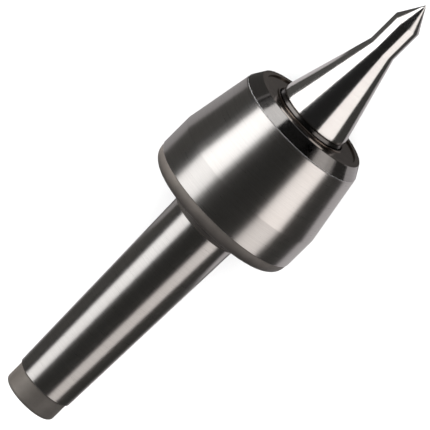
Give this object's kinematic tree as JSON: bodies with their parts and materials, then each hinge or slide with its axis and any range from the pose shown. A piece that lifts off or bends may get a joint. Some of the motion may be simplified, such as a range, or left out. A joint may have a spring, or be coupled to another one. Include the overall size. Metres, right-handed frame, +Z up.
{
  "type": "live center",
  "caption": "Revolving tailstock center: ground housing on a Morse taper shank, bevelled nose nut, and a spindle with an extended 60 degree point turning on rolling bearings.",
  "frame": {"origin": "on the axis of rotation, at the gauge line of the Morse taper (nominal diameter 31.267 mm)", "axes": "+X along the axis of rotation towards the point, -X towards the drawbar end of the shank, +Z up with the center lying level as in a lathe tailstock; the part is round about X"},
  "size_m": [0.232, 0.07, 0.07],
  "materials": {
    "ground_steel": "cylindrically ground, fine circumferential marks; unground rear rim and shank end matte grey",
    "hardened_steel": "hardened and finely ground, brighter than the body",
    "nut_steel": "finely turned and polished bevel",
    "plate_steel": "dark browned sheet steel",
    "bearing_steel": "polished bearing steel",
    "dark_steel": "blackened spring and sheet steel",
    "cage_brass": "machined brass",
    "seal_rubber": "matte nitrile rubber"
  },
  "bodies": {
    "housing": {"shank_housing": "ground_steel", "front_nut": "nut_steel", "nut_o_ring": "seal_rubber", "dust_cover_plate": "plate_steel", "seal_case": "dark_steel", "seal_lip": "seal_rubber", "seal_spring": "bearing_steel", "front_outer_race": "bearing_steel", "second_outer_race": "bearing_steel", "thrust_housing_washer": "bearing_steel", "disc_spring": "dark_steel", "needle_cup": "dark_steel"},
    "spindle": {"spindle": "hardened_steel", "flinger_ring": "hardened_steel", "front_inner_race": "bearing_steel", "second_inner_race": "bearing_steel", "lock_washer": "dark_steel", "lock_nut": "dark_steel", "thrust_shaft_washer": "bearing_steel"},
    "front_ball_set": {"front_cage": "cage_brass", "front_balls": "bearing_steel"},
    "second_ball_set": {"second_cage": "cage_brass", "second_balls": "bearing_steel"},
    "thrust_ball_set": {"thrust_cage": "cage_brass", "thrust_balls": "bearing_steel"},
    "needle_set": {"needle_cage": "cage_brass", "needle_rollers": "bearing_steel"}
  },
  "joints": [
    {"name": "spindle_spin", "type": "hinge", "parent": "housing", "child": "spindle", "pos_m": [0, 0, 0], "axis": [1, 0, 0], "continuous": true},
    {"name": "front_cage_orbit", "type": "hinge", "parent": "housing", "child": "front_ball_set", "pos_m": [0.046, 0, 0], "axis": [1, 0, 0], "continuous": true},
    {"name": "second_cage_orbit", "type": "hinge", "parent": "housing", "child": "second_ball_set", "pos_m": [0.034, 0, 0], "axis": [1, 0, 0], "continuous": true},
    {"name": "thrust_cage_orbit", "type": "hinge", "parent": "housing", "child": "thrust_ball_set", "pos_m": [0.016, 0, 0], "axis": [1, 0, 0], "continuous": true},
    {"name": "needle_cage_orbit", "type": "hinge", "parent": "housing", "child": "needle_set", "pos_m": [-0.012, 0, 0], "axis": [1, 0, 0], "continuous": true}
  ],
  "couplings": [
    {"joint": "front_cage_orbit", "follows": "spindle_spin", "ratio": 0.4148},
    {"joint": "second_cage_orbit", "follows": "spindle_spin", "ratio": 0.4148},
    {"joint": "thrust_cage_orbit", "follows": "spindle_spin", "ratio": 0.5},
    {"joint": "needle_cage_orbit", "follows": "spindle_spin", "ratio": 0.4413}
  ]
}
